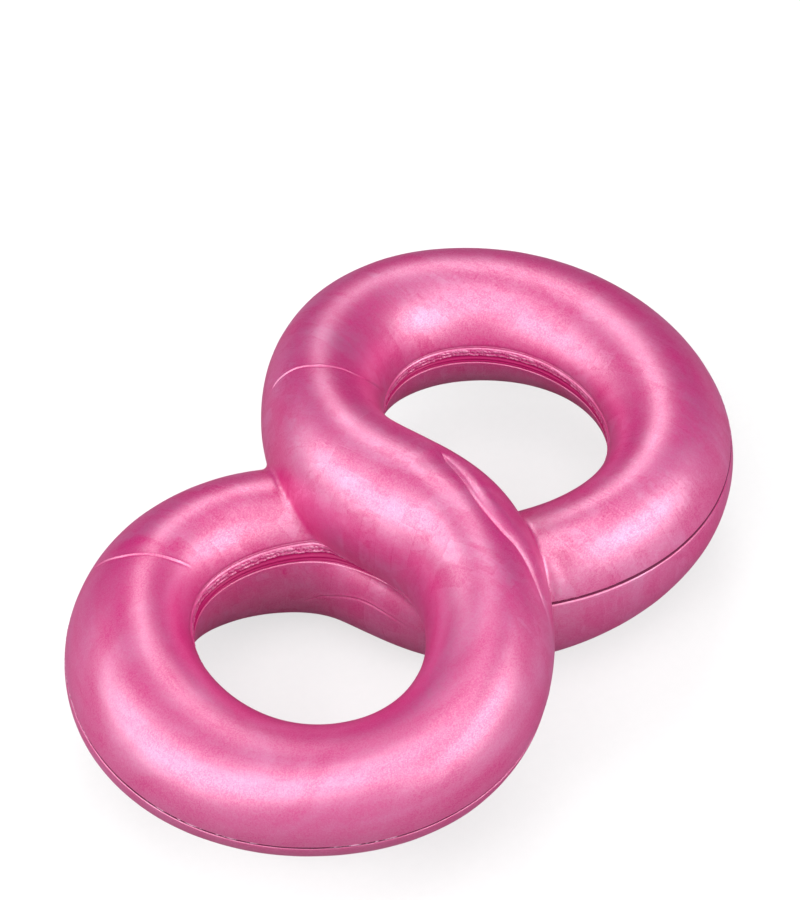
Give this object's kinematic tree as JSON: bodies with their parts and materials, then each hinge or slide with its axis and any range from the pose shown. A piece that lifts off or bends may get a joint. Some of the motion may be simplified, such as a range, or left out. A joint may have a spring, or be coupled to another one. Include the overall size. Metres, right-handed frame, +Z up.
{
  "type": "figure-eight pull buoy",
  "caption": "Figure-eight swim float: one thick foam-filled tube that crosses over itself, with a hole each side for a hand, leg or ankle.",
  "frame": {"origin": "centre of the crossing, on the parting plane", "axes": "+X along the line through both holes, +Y across, +Z up through the strand that crosses over"},
  "size_m": [0.2924, 0.1792, 0.0916],
  "materials": {
    "pearl_skin": "satin pearl, moulded foam skin",
    "core_foam": "closed-cell foam",
    "seam_bond": "dark recessed bond line"
  },
  "bodies": {
    "root": {"upper_shell": "pearl_skin", "lower_shell": "pearl_skin", "foam_core": "core_foam", "outer_seam_bead": "seam_bond", "near_hole_seam_band": "seam_bond", "far_hole_seam_band": "seam_bond"}
  },
  "joints": []
}
